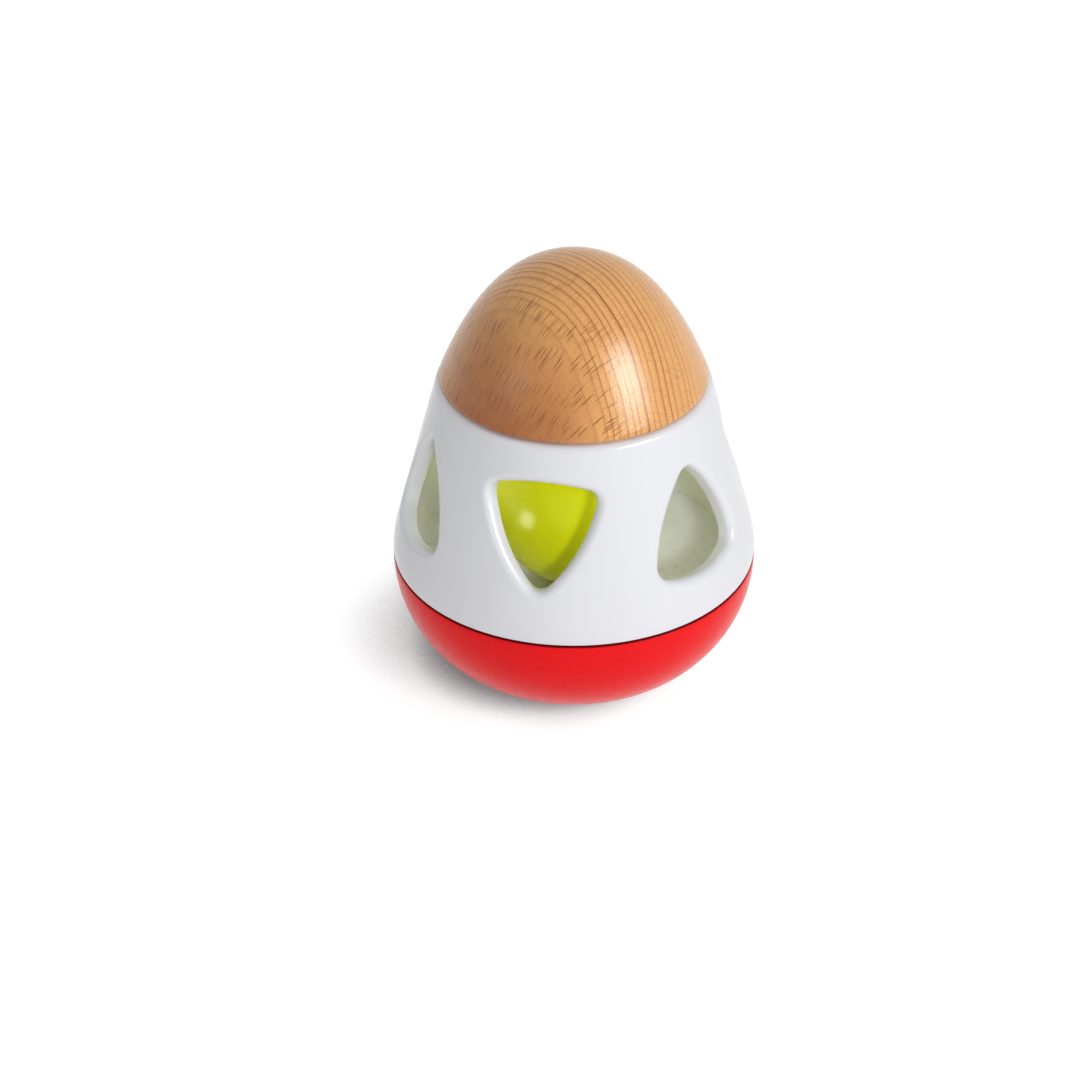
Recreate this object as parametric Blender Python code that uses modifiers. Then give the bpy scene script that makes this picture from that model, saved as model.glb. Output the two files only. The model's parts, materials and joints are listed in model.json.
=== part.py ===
"""Egg-shaped baby rattle: a turned wooden dome on a windowed plastic shell, over a weighted bowl.

A loose hollow ball runs on a dished floor inside the shell, with a jingle bell loose inside the ball.
Units are metres, +Z is up, the origin is the middle of the flat foot and a window faces -Y.
"""

import math

import bmesh
import bpy
from mathutils import Vector

# Outline of the egg, from the foot up
EGG_RADIUS = 0.0325
BASE_ROUND = 0.0232
FOOT_RADIUS = 0.011
SEAM_HEIGHT = 0.0238
SHELL_HEIGHT = 0.0344
DOME_HEIGHT = 0.0227
CONE_ANGLE = math.radians(15.0)

# Gap between pieces that touch or slide into each other
CLEARANCE = 0.0003

# Turned wooden dome
DOME_INSET = 0.00055
DOME_EDGE = 0.0007
DOME_SLOPE = math.radians(22.9)
DOME_CROWN = 0.0134
DOME_FLANK = 0.0096
TENON_RADIUS = 0.014
TENON_DEPTH = 0.003

# Windowed shell
SHELL_WALL = 0.003
LIP_ROUND = 0.0012
DECK = 0.0028
WEB = 0.0026
SPIGOT_DEPTH = 0.0032
SEAM_EDGE = 0.0004

# Windows: rounded triangles with bowed sides, tip down and tip up by turns
WINDOW_PAIRS = 3
WINDOW_RISE = 0.0179
WINDOW_STAGGER = 0.0024
WINDOW_TIP = 0.01185
WINDOW_SIDE = 0.0087
WINDOW_CORNER = 0.004
WINDOW_FLARE = 0.0014
FLARE_START = math.radians(20.0)

# Screws that hold the dome from below
DOME_SCREWS = 3
DOME_SCREW_CIRCLE = 0.0085
SCREW_RADIUS = 0.0015
SCREW_LENGTH = 0.015
SCREW_HEAD_RADIUS = 0.003
SCREW_HEAD_HEIGHT = 0.0016
SCREW_TAPER = 2.0

# Bowl, and the snap beads that hold the shell and the floor in it
BASE_WALL = 0.0034
RIM_WALL = 0.0015
BEAD = 0.0004
BEAD_HEIGHT = 0.001
BEAD_CREST = 0.00035
POST_RADIUS = 0.0038
SEAT_RADIUS = 0.008
SEAT_HEIGHT = 0.001

# Dished floor
PAN_WALL = 0.002
PAN_RIM = 0.0026
PAN_LIP = 0.0012
DISH_DEPTH = 0.0029

# Ballast weight and its screw
WEIGHT_GAP = 0.00085
WEIGHT_HEIGHT = 0.007
WEIGHT_EDGE = 0.0006
COUNTERBORE_DEPTH = 0.0024
WEIGHT_SCREW_RADIUS = 0.0015
WEIGHT_SCREW_LENGTH = 0.0075
WEIGHT_SCREW_HEAD = 0.0055
WEIGHT_SCREW_CROWN = 0.0028
WEIGHT_SCREW_FLANGE = 0.0006
WEIGHT_SCREW_HEAD_HEIGHT = 0.0018

# Hollow ball in two halves
BALL_RADIUS = 0.0145
BALL_WALL = 0.0017
TONGUE_DEPTH = 0.0014
TONGUE_WALL = 0.0007

# Jingle bell of two crimped cups, with a wire loop and a pellet
BELL_RADIUS = 0.008
BELL_SHEET = 0.0006
CRIMP_REACH = 0.001
CRIMP_SHEET = 0.0004
BELL_SLOT = 0.0014
BELL_SLOT_LENGTH = 0.0084
BELL_HOLE_RADIUS = 0.0013
LOOP_WIRE_RADIUS = 0.0005
LOOP_RADIUS = 0.0013
LOOP_HEIGHT = 0.0036
LOOP_FOOT = 0.0013
PELLET_RADIUS = 0.0022

# Facets round each turned piece, along the dome's sweep, over a window's rounded edge and on the bell's
# wire. Any other arc gets as many as keep within the sag.
EGG_STEPS = 48
BALL_STEPS = 32
BELL_STEPS = 20
SCREW_STEPS = 12
DOME_FACETS = 9
FLARE_FACETS = 3
WIRE_FACETS = 2
FACET_SAG = 0.00012
MERGE_DISTANCE = 0.00001

# Places that follow from the sizes
ROUND_CENTRE = EGG_RADIUS - BASE_ROUND
EQUATOR_HEIGHT = math.sqrt(BASE_ROUND**2 - (FOOT_RADIUS - ROUND_CENTRE) ** 2)
SHELL_TOP = SEAM_HEIGHT + SHELL_HEIGHT
DOME_BOTTOM = SHELL_TOP + CLEARANCE
SOCKET_FLOOR = SHELL_TOP - TENON_DEPTH
CEILING = SOCKET_FLOOR - WEB
SPIGOT_BOTTOM = SEAM_HEIGHT - SPIGOT_DEPTH
PAN_TOP = SPIGOT_BOTTOM - CLEARANCE
PAN_BOTTOM = PAN_TOP - PAN_RIM
DISH_BOTTOM = PAN_TOP - DISH_DEPTH
BOWL_FLOOR = EQUATOR_HEIGHT - BASE_ROUND + BASE_WALL
WEIGHT_BOTTOM = BOWL_FLOOR + SEAT_HEIGHT + CLEARANCE
COUNTERBORE_FLOOR = WEIGHT_BOTTOM + WEIGHT_HEIGHT - COUNTERBORE_DEPTH
BALL_INSIDE = BALL_RADIUS - BALL_WALL
BELL_INSIDE = BELL_RADIUS - BELL_SHEET
BALL_CENTRE = DISH_BOTTOM + CLEARANCE + BALL_RADIUS
BELL_CENTRE = BALL_CENTRE - BALL_INSIDE + CLEARANCE + BELL_RADIUS
PELLET_CENTRE = BELL_CENTRE - BELL_INSIDE + CLEARANCE + PELLET_RADIUS


def egg_radius(height, inset=0.0):
    """Radius of the egg at a height: a cone above, a round bowl below, moved in by the inset."""
    bowl = BASE_ROUND - inset
    tangent_height = EQUATOR_HEIGHT + bowl * math.sin(CONE_ANGLE)
    if height > tangent_height:
        tangent_radius = ROUND_CENTRE + bowl * math.cos(CONE_ANGLE)
        return tangent_radius - math.tan(CONE_ANGLE) * (height - tangent_height)
    return ROUND_CENTRE + math.sqrt(bowl**2 - (height - EQUATOR_HEIGHT) ** 2)


PAN_SEAT_RADIUS = egg_radius(SPIGOT_BOTTOM, SHELL_WALL)
PAN_RADIUS = PAN_SEAT_RADIUS - CLEARANCE
DISH_RADIUS = PAN_RADIUS - PAN_LIP
WEIGHT_RADIUS = egg_radius(WEIGHT_BOTTOM, BASE_WALL) - WEIGHT_GAP
DISH_CURVE = (DISH_RADIUS**2 + DISH_DEPTH**2) / (2 * DISH_DEPTH)
REBATE_RADIUS = egg_radius(SEAM_HEIGHT) - RIM_WALL
SPIGOT_RADIUS = REBATE_RADIUS - CLEARANCE


def facets(sweep, span):
    """How many facets an arc of this radius needs over a span in radians."""
    return math.ceil(abs(span) / (2 * math.acos(1 - FACET_SAG / sweep)))


def arc(radius, height, sweep, start, end, count=None):
    """Points on a circle in the profile plane, from one angle to another, in radians."""
    count = count or facets(sweep, end - start)
    angles = [start + (end - start) * i / count for i in range(count + 1)]
    return [(radius + sweep * math.cos(a), height + sweep * math.sin(a)) for a in angles]


def bowl_angle(height, inset=0.0):
    return math.asin((height - EQUATOR_HEIGHT) / (BASE_ROUND - inset))


def bezier(start, start_handle, end_handle, end, count):
    """Points on a cubic Bezier curve."""
    points = []
    for i in range(count + 1):
        t = i / count
        weights = ((1 - t) ** 3, 3 * t * (1 - t) ** 2, 3 * t**2 * (1 - t), t**3)
        corners = (start, start_handle, end_handle, end)
        points.append(tuple(sum(w * c[k] for w, c in zip(weights, corners)) for k in (0, 1)))
    return points


def snap_bead(radius, height, room=0.0):
    """Four points of a ring-shaped bead, from its top edge down. Room widens it into a groove."""
    half = BEAD_HEIGHT / 2 + room
    crest = BEAD_CREST / 2 + room
    tip = radius + BEAD
    return [(radius, height + half), (tip, height + crest), (tip, height - crest), (radius, height - half)]


def collection(name):
    made = bpy.data.collections.new(name)
    bpy.context.scene.collection.children.link(made)
    return made


def linear(channel):
    return channel / 12.92 if channel <= 0.04045 else ((channel + 0.055) / 1.055) ** 2.4


def material(name, colour, roughness, metallic=0.0):
    """A Principled material from an sRGB hex colour."""
    made = bpy.data.materials.new(name)
    made.use_nodes = True
    shader = made.node_tree.nodes["Principled BSDF"]
    channels = [linear(int(colour[i : i + 2], 16) / 255) for i in (0, 2, 4)]
    shader.inputs["Base Color"].default_value = (*channels, 1.0)
    shader.inputs["Roughness"].default_value = roughness
    shader.inputs["Metallic"].default_value = metallic
    return made


def world_position(parent):
    """Where a parent stands: none of them is turned, so the locations up the tree add up."""
    total = Vector()
    while parent:
        total += parent.location
        parent = parent.parent
    return total


def place(name, data, finish, parent, position):
    """Adds an object for the piece at a world position, under its parent."""
    piece = bpy.data.objects.new(name, data)
    if finish:
        piece.data.materials.append(finish)
    group = PARTS if finish else CUTTERS
    group.objects.link(piece)
    piece.parent = parent
    piece.location = Vector(position) - world_position(parent)
    if not finish:
        piece.hide_render = True
        piece.display_type = "WIRE"
    return piece


def turned(name, profile, steps, finish, parent, position=(0, 0, 0), ring=False):
    """A profile of radius and height, turned round its object's Z axis."""
    mesh = bpy.data.meshes.new(name)
    edges = [(i, i + 1) for i in range(len(profile) - 1)]
    if ring:
        edges.append((len(profile) - 1, 0))
    mesh.from_pydata([(r, 0, z) for r, z in profile], edges, [])
    piece = place(name, mesh, finish, parent, position)
    turn = piece.modifiers.new("Turn", "SCREW")
    turn.steps = steps
    turn.render_steps = steps
    turn.use_merge_vertices = True
    turn.merge_threshold = MERGE_DISTANCE
    return piece


def cut(piece, cutter):
    boolean = piece.modifiers.new(cutter.name, "BOOLEAN")
    boolean.operation = "DIFFERENCE"
    boolean.object = cutter


def empty(name, parent, position):
    """A parent for pieces that move together, on their joint's axis."""
    made = bpy.data.objects.new(name, None)
    PARTS.objects.link(made)
    made.empty_display_size = BELL_RADIUS
    made.parent = parent
    made.location = Vector(position) - world_position(parent)
    return made


def window_outline(inset):
    """A rounded triangle, tip up: arcs round the corners and along the bowed sides, moved in by the inset."""
    reach = WINDOW_TIP - WINDOW_CORNER
    flat = WINDOW_SIDE - WINDOW_CORNER
    back = (reach**2 - flat**2) / (2 * flat - reach)
    spread = math.atan2(back * math.sin(math.pi / 3), reach + back * math.cos(math.pi / 3))
    bow = WINDOW_SIDE + back
    turn = 2 * math.pi / 3
    corner_count = facets(WINDOW_CORNER, 2 * spread)
    side_count = facets(bow, turn - 2 * spread)
    points = []
    for corner in range(3):
        tip = math.pi / 2 + corner * turn
        side = tip + turn / 2
        start = tip + spread
        end = tip + turn - spread
        x, y = reach * math.cos(tip), reach * math.sin(tip)
        points += arc(x, y, WINDOW_CORNER - inset, tip - spread, start, corner_count)
        x, y = -back * math.cos(side), -back * math.sin(side)
        points += arc(x, y, bow - inset, start, end, side_count)[1:-1]
    return points


def on_wall(across, height, depth, azimuth):
    """A point under the shell's outer surface: across and height run along it, depth goes square into it."""
    angle = azimuth + across / egg_radius(height)
    radius = egg_radius(height) - depth * math.cos(CONE_ANGLE)
    return (
        radius * math.sin(angle),
        -radius * math.cos(angle),
        height - depth * math.sin(CONE_ANGLE),
    )


def flare_sections():
    """Inset and depth of each section of a window, from outside the wall, over the rounded edge, to inside."""
    rounded = arc(0, WINDOW_FLARE, WINDOW_FLARE, FLARE_START - math.pi / 2, 0, FLARE_FACETS)
    inset, depth = rounded[0]
    outside = (inset - SHELL_WALL * math.cos(FLARE_START), depth - SHELL_WALL * math.sin(FLARE_START))
    clear = (outside[0], outside[1] - SHELL_WALL)
    inside = (WINDOW_FLARE, 2 * SHELL_WALL)
    return [clear, outside, *rounded, inside]


def window_cutters():
    """All the windows as one mesh: each is a loft of outlines wrapped round the wall."""
    shape = bmesh.new()
    for index in range(2 * WINDOW_PAIRS):
        azimuth = index * math.pi / WINDOW_PAIRS
        upright = 1 if index % 2 else -1
        middle = SEAM_HEIGHT + WINDOW_RISE - upright * WINDOW_STAGGER
        rings = []
        for inset, depth in flare_sections():
            outline = window_outline(inset)
            spots = [on_wall(upright * x, middle + upright * y, depth, azimuth) for x, y in outline]
            ring = [shape.verts.new(spot) for spot in spots]
            rings.append([shape.edges.new((a, b)) for a, b in zip(ring, ring[1:] + ring[:1])])
        for outer, inner in zip(rings, rings[1:]):
            bmesh.ops.bridge_loops(shape, edges=outer + inner)
        for end in (rings[0], rings[-1]):
            cap = bmesh.ops.edgeloop_fill(shape, edges=end)
            bmesh.ops.poke(shape, faces=cap["faces"])
    bmesh.ops.recalc_face_normals(shape, faces=shape.faces)
    mesh = bpy.data.meshes.new("window_cutters")
    shape.to_mesh(mesh)
    shape.free()
    return place("window_cutters", mesh, None, None, (0, 0, 0))


def countersunk_profile(room=0.0, run_out=0.0):
    """A screw from its tip down to its countersunk head, with the head's face at zero height."""
    shank = SCREW_RADIUS + room
    head = SCREW_HEAD_RADIUS + room
    tip = SCREW_LENGTH + room
    return [
        (0, tip),
        (shank, tip - SCREW_TAPER * shank),
        (shank, SCREW_HEAD_HEIGHT + room),
        (head, room),
        (head, -run_out),
        (0, -run_out),
    ]


def dome_screw_places():
    angles = [math.pi / 2 + i * 2 * math.pi / DOME_SCREWS for i in range(DOME_SCREWS)]
    return [(DOME_SCREW_CIRCLE * math.cos(a), DOME_SCREW_CIRCLE * math.sin(a), CEILING) for a in angles]


def make_dome(parent):
    """The turned dome: one sweep from the crown to the rim, and a tenon that drops into the shell."""
    edge_centre = egg_radius(SHELL_TOP) - DOME_INSET - DOME_EDGE
    edge = arc(edge_centre, DOME_BOTTOM + DOME_EDGE, DOME_EDGE, DOME_SLOPE, -math.pi / 2)
    top = DOME_BOTTOM + DOME_HEIGHT
    rim_radius, rim_height = edge[0]
    flank = (rim_radius - DOME_FLANK * math.sin(DOME_SLOPE), rim_height + DOME_FLANK * math.cos(DOME_SLOPE))
    sweep = bezier((0, top), (DOME_CROWN, top), flank, edge[0], DOME_FACETS)
    tenon = [
        (TENON_RADIUS, DOME_BOTTOM),
        (TENON_RADIUS, DOME_BOTTOM - TENON_DEPTH),
        (0, DOME_BOTTOM - TENON_DEPTH),
    ]
    return turned("wood_dome", sweep + edge[1:] + tenon, EGG_STEPS, BEECH, parent)


def make_shell(parent):
    """The white shell: a deck with a socket for the dome, a coned wall and a spigot to snap into the bowl."""
    socket = TENON_RADIUS + CLEARANCE
    bottom = SEAM_HEIGHT + CLEARANCE / 2
    lip_height = SHELL_TOP - LIP_ROUND
    lip_radius = egg_radius(lip_height, LIP_ROUND)
    top = [(0, SOCKET_FLOOR), (socket, SOCKET_FLOOR), (socket, SHELL_TOP)]
    lip = arc(lip_radius, lip_height, LIP_ROUND, math.pi / 2, CONE_ANGLE)
    skirt = arc(ROUND_CENTRE, EQUATOR_HEIGHT, BASE_ROUND, CONE_ANGLE, bowl_angle(bottom + SEAM_EDGE))
    hem_radius = egg_radius(bottom + SEAM_EDGE) - SEAM_EDGE
    hem = arc(hem_radius, bottom + SEAM_EDGE, SEAM_EDGE, 0, -math.pi / 2)[1:]
    spigot = [(SPIGOT_RADIUS, bottom)]
    spigot += snap_bead(SPIGOT_RADIUS, SEAM_HEIGHT - SPIGOT_DEPTH / 2)
    spigot.append((SPIGOT_RADIUS, SPIGOT_BOTTOM))
    lining_start = bowl_angle(SPIGOT_BOTTOM, SHELL_WALL)
    lining = arc(ROUND_CENTRE, EQUATOR_HEIGHT, BASE_ROUND - SHELL_WALL, lining_start, CONE_ANGLE)
    under_deck = SHELL_TOP - DECK
    ceiling = [
        (egg_radius(under_deck, SHELL_WALL), under_deck),
        (socket + DECK, under_deck),
        (socket + DECK, CEILING),
        (0, CEILING),
    ]
    profile = top + lip + skirt + hem + spigot + lining + ceiling
    return turned("window_shell", profile, EGG_STEPS, WHITE_ABS, parent)


def make_bowl(parent):
    """The red bowl: a flat foot, a post and seat for the weight, a ledge for the floor and a rebated rim."""
    ledge = PAN_BOTTOM - CLEARANCE
    top = SEAM_HEIGHT - CLEARANCE / 2
    pilot = WEIGHT_SCREW_RADIUS + CLEARANCE
    post_top = COUNTERBORE_FLOOR - CLEARANCE
    seat_top = BOWL_FLOOR + SEAT_HEIGHT
    pilot_floor = COUNTERBORE_FLOOR - WEIGHT_SCREW_LENGTH
    inside = [
        (0, pilot_floor),
        (pilot, pilot_floor),
        (pilot, post_top),
        (POST_RADIUS, post_top),
        (POST_RADIUS, seat_top),
        (SEAT_RADIUS, seat_top),
        (SEAT_RADIUS, BOWL_FLOOR),
    ]
    inner_round = BASE_ROUND - BASE_WALL
    inside += arc(ROUND_CENTRE, EQUATOR_HEIGHT, inner_round, -math.pi / 2, bowl_angle(ledge, BASE_WALL))
    inside.append((PAN_SEAT_RADIUS, ledge))
    inside += reversed(snap_bead(PAN_SEAT_RADIUS, (PAN_TOP + PAN_BOTTOM) / 2, CLEARANCE))
    inside += [(PAN_SEAT_RADIUS, PAN_TOP), (REBATE_RADIUS, PAN_TOP)]
    inside += reversed(snap_bead(REBATE_RADIUS, SEAM_HEIGHT - SPIGOT_DEPTH / 2, CLEARANCE))
    inside.append((REBATE_RADIUS, top))
    rim_radius = egg_radius(top - SEAM_EDGE) - SEAM_EDGE
    rim = arc(rim_radius, top - SEAM_EDGE, SEAM_EDGE, math.pi / 2, 0)
    foot_angle = -math.acos((FOOT_RADIUS - ROUND_CENTRE) / BASE_ROUND)
    outside = arc(ROUND_CENTRE, EQUATOR_HEIGHT, BASE_ROUND, bowl_angle(top - SEAM_EDGE), foot_angle)
    profile = inside + rim + outside[1:] + [(0, 0)]
    return turned("base_bowl", profile, EGG_STEPS, RED_ABS, parent)


def make_floor(parent):
    """The dished floor that centres the ball, with a rim that snaps into the bowl."""
    half = math.asin(DISH_RADIUS / DISH_CURVE)
    centre = DISH_BOTTOM + DISH_CURVE
    down = -math.pi / 2
    dish = arc(0, centre, DISH_CURVE, down, down + half)
    rim = [(PAN_RADIUS, PAN_TOP)]
    rim += snap_bead(PAN_RADIUS, (PAN_TOP + PAN_BOTTOM) / 2)
    rim += [(PAN_RADIUS, PAN_BOTTOM), (DISH_RADIUS - PAN_LIP, PAN_BOTTOM)]
    inner_half = math.asin((DISH_RADIUS - 2 * PAN_LIP) / (DISH_CURVE + PAN_WALL))
    underside = arc(0, centre, DISH_CURVE + PAN_WALL, down + inner_half, down)
    return turned("floor_pan", dish + rim + underside, EGG_STEPS, WHITE_ABS, parent)


def make_weight(parent):
    """The ballast disc, with a hole that fits over the bowl's post and a counterbore for its screw."""
    hole = POST_RADIUS + CLEARANCE
    counterbore = WEIGHT_SCREW_HEAD + CLEARANCE
    top = WEIGHT_BOTTOM + WEIGHT_HEIGHT
    profile = [
        (counterbore, top),
        (WEIGHT_RADIUS - WEIGHT_EDGE, top),
        (WEIGHT_RADIUS, top - WEIGHT_EDGE),
        (WEIGHT_RADIUS, WEIGHT_BOTTOM + WEIGHT_EDGE),
        (WEIGHT_RADIUS - WEIGHT_EDGE, WEIGHT_BOTTOM),
        (hole, WEIGHT_BOTTOM),
        (hole, COUNTERBORE_FLOOR),
        (counterbore, COUNTERBORE_FLOOR),
    ]
    return turned("base_weight", profile, BALL_STEPS, ZINC_STEEL, parent, ring=True)


def make_weight_screw(parent):
    """A flanged screw down through the weight into the bowl's post."""
    shank = WEIGHT_SCREW_RADIUS
    head = WEIGHT_SCREW_HEAD_HEIGHT
    tip = WEIGHT_SCREW_LENGTH - 2 * CLEARANCE
    profile = [
        (0, head),
        (WEIGHT_SCREW_CROWN, head),
        (WEIGHT_SCREW_HEAD - CLEARANCE, WEIGHT_SCREW_FLANGE),
        (WEIGHT_SCREW_HEAD - CLEARANCE, 0),
        (shank, 0),
        (shank, SCREW_TAPER * shank - tip),
        (0, -tip),
    ]
    seat = COUNTERBORE_FLOOR + CLEARANCE
    return turned("weight_screw", profile, SCREW_STEPS, ZINC_STEEL, parent, (0, 0, seat))


def make_ball_half(name, tongued, parent):
    """Half of the hollow ball. One half has a tongue inside its edge, and the other the rebate for it."""
    tongue = BALL_INSIDE + TONGUE_WALL
    half_gap = CLEARANCE / 2
    start = math.asin(half_gap / BALL_RADIUS)
    outside = arc(0, 0, BALL_RADIUS, math.pi / 2, start)
    if tongued:
        edge = [(tongue, half_gap), (tongue, -TONGUE_DEPTH), (BALL_INSIDE, -TONGUE_DEPTH)]
        inside = arc(0, 0, BALL_INSIDE, 0, math.pi / 2)
    else:
        rebate = TONGUE_DEPTH + CLEARANCE
        first = math.asin(rebate / BALL_INSIDE)
        edge = [(tongue + CLEARANCE, half_gap), (tongue + CLEARANCE, rebate)]
        inside = arc(0, 0, BALL_INSIDE, first, math.pi / 2)
    half = turned(name, outside + edge + inside, BALL_STEPS, LIME_ABS, parent, (0, 0, BALL_CENTRE))
    half.rotation_euler.x = math.pi / 2 if tongued else -math.pi / 2
    return half


def make_bell_cups(parent):
    """The bell's two cups: the upper one is crimped round the lower one's flange."""
    place_of_bell = (0, 0, BELL_CENTRE)
    mouth = LOOP_RADIUS + LOOP_WIRE_RADIUS + CLEARANCE
    belt = BELL_RADIUS + CRIMP_REACH
    channel = belt - CRIMP_SHEET
    flange = channel - CLEARANCE
    hook_top = -CRIMP_SHEET - CLEARANCE
    hook_bottom = hook_top - CRIMP_SHEET
    hook_radius = BELL_RADIUS + CLEARANCE
    belt_top = CLEARANCE + CRIMP_SHEET
    upper = arc(0, 0, BELL_RADIUS, math.acos(mouth / BELL_RADIUS), math.asin(belt_top / BELL_RADIUS))
    upper += [(belt, belt_top), (belt, hook_bottom), (hook_radius, hook_bottom), (hook_radius, hook_top)]
    upper += [(channel, hook_top), (channel, CLEARANCE)]
    upper += arc(0, 0, BELL_INSIDE, math.asin(CLEARANCE / BELL_INSIDE), math.acos(mouth / BELL_INSIDE))
    turned("bell_upper_cup", upper, BELL_STEPS, BRASS, parent, place_of_bell, ring=True)
    lower = arc(0, 0, BELL_INSIDE, -math.pi / 2, 0)
    lower += [(flange, 0), (flange, -CRIMP_SHEET)]
    lower += arc(0, 0, BELL_RADIUS, -math.asin(CRIMP_SHEET / BELL_RADIUS), -math.pi / 2)
    cup = turned("bell_lower_cup", lower, BELL_STEPS, BRASS, parent, place_of_bell)
    for cutter in slot_cutters():
        cut(cup, cutter)


def slot_cutters():
    """The bell's sound slot: a straight slit across its underside, and a round hole at each end."""
    shape = bmesh.new()
    bmesh.ops.create_cube(shape, size=1.0)
    bmesh.ops.scale(shape, vec=(BELL_SLOT_LENGTH, BELL_SLOT, BELL_RADIUS), verts=shape.verts)
    slit = bpy.data.meshes.new("slit_cutter")
    shape.to_mesh(slit)
    shape.free()
    cutters = [place("slit_cutter", slit, None, None, (0, 0, BELL_CENTRE - BELL_RADIUS))]
    hole = [(0, 0), (BELL_HOLE_RADIUS, 0), (BELL_HOLE_RADIUS, -BELL_RADIUS), (0, -BELL_RADIUS)]
    for side in (-1, 1):
        spot = (side * BELL_SLOT_LENGTH / 2, 0, BELL_CENTRE)
        cutters.append(turned(f"slot_end_cutter_{side}", hole, SCREW_STEPS, None, None, spot))
    return cutters


def make_bell_loop(parent):
    """A wire loop through the top of the bell, with its feet spread under the cup."""
    bend = LOOP_FOOT / 2
    shoulder = BELL_RADIUS + LOOP_HEIGHT - LOOP_RADIUS - LOOP_WIRE_RADIUS
    foot_reach = LOOP_RADIUS + LOOP_FOOT
    foot_height = math.sqrt(BELL_INSIDE**2 - (foot_reach + LOOP_WIRE_RADIUS) ** 2)
    foot_height -= LOOP_WIRE_RADIUS + CLEARANCE
    right_foot = [(foot_reach, foot_height)]
    right_foot += arc(LOOP_RADIUS + bend, foot_height + bend, bend, -math.pi / 2, -math.pi)
    over = arc(0, shoulder, LOOP_RADIUS, 0, math.pi)
    left_foot = [(-x, z) for x, z in reversed(right_foot)]
    points = right_foot + over + left_foot
    wire = bpy.data.curves.new("bell_loop", "CURVE")
    wire.dimensions = "3D"
    wire.bevel_depth = LOOP_WIRE_RADIUS
    wire.bevel_resolution = WIRE_FACETS
    wire.use_fill_caps = True
    path = wire.splines.new("POLY")
    path.points.add(len(points) - 1)
    for point, (x, z) in zip(path.points, points):
        point.co = (x, 0, z, 1)
    return place("bell_loop", wire, BRASS, parent, (0, 0, BELL_CENTRE))


def make_pellet(parent):
    ball = arc(0, 0, PELLET_RADIUS, math.pi / 2, -math.pi / 2)
    return turned("bell_pellet", ball, SCREW_STEPS, ZINC_STEEL, parent, (0, 0, PELLET_CENTRE))


for old in list(bpy.data.objects):
    bpy.data.objects.remove(old)

PARTS = collection("bell_rattle")
CUTTERS = collection("bell_rattle_cutters")
BEECH = material("lacquered beech", "D9A066", 0.3)
WHITE_ABS = material("white ABS", "F2F2F0", 0.2)
RED_ABS = material("red ABS", "E23236", 0.25)
LIME_ABS = material("lime ABS", "C3CF14", 0.15)
BRASS = material("brass", "D8B45A", 0.3, 1.0)
ZINC_STEEL = material("zinc-plated steel", "B9BCC0", 0.35, 1.0)

egg = empty("egg", None, (0, 0, 0))
ball_axis = empty("ball_axis", egg, (0, 0, DISH_BOTTOM + DISH_CURVE))
bell_axis = empty("bell_axis", ball_axis, (0, 0, BALL_CENTRE))
pellet_axis = empty("pellet_axis", bell_axis, (0, 0, BELL_CENTRE))

dome = make_dome(egg)
shell = make_shell(egg)
cut(shell, window_cutters())
for number, spot in enumerate(dome_screw_places(), start=1):
    turned(f"dome_screw_{number}", countersunk_profile(), SCREW_STEPS, ZINC_STEEL, egg, spot)
    bore = countersunk_profile(CLEARANCE, WEB)
    drill = turned(f"dome_screw_cutter_{number}", bore, SCREW_STEPS, None, None, spot)
    cut(shell, drill)
    cut(dome, drill)
make_bowl(egg)
make_floor(egg)
make_weight(egg)
make_weight_screw(egg)
make_ball_half("ball_front_half", True, ball_axis)
make_ball_half("ball_rear_half", False, ball_axis)
make_bell_cups(bell_axis)
make_bell_loop(bell_axis)
make_pellet(pellet_axis)
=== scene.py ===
"""Looks of an egg-shaped bell rattle, laid out as an add-on and run as a script.

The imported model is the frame. Each operator models one piece, or a group of like pieces, at its place in
that frame, gives it a finish made of nodes and lets it stand for its CAD node.
Units are metres, +Z is up and a window with its tip down faces -Y.
"""

import json
import math

import bmesh
import bpy
from mathutils import Matrix, Vector


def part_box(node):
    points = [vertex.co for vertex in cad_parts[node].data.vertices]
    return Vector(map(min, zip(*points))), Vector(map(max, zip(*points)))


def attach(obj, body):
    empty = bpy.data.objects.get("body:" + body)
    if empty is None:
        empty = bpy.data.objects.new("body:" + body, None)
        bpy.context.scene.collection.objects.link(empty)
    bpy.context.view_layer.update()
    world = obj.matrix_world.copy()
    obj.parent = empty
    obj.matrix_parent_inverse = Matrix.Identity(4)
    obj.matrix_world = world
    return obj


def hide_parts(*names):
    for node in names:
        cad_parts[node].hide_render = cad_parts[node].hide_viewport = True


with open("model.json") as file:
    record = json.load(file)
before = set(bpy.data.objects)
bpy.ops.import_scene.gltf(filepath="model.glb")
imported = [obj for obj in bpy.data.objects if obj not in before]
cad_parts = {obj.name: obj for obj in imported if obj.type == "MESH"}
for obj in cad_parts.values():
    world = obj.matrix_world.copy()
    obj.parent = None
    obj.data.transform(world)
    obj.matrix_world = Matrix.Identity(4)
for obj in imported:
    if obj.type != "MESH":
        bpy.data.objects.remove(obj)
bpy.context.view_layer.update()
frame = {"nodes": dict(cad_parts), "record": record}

bl_info = {
    "name": "Bell Rattle",
    "version": (1, 0, 0),
    "blender": (4, 5, 0),
    "location": "View3D > Sidebar > Rattle",
    "description": "Turned beech dome, windowed shell, weighted bowl and loose ball of a bell rattle",
    "category": "Object",
}

# Windows round the shell, and the posts between those at the sides and the back
WINDOWS = 6
REAR_POSTS = 4

# How finely the pieces are faceted
SECTOR_STEPS = 40
SIDE_STEPS = 36
FLARE_STEPS = 8
EGG_STEPS = WINDOWS * SECTOR_STEPS
BALL_STEPS = 128
SCREW_STEPS = 48
DOME_FACETS = 56
FACET_SAG = 0.000005
MERGE_DISTANCE = 0.000002
SHARP_ANGLE = math.radians(38)
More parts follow.
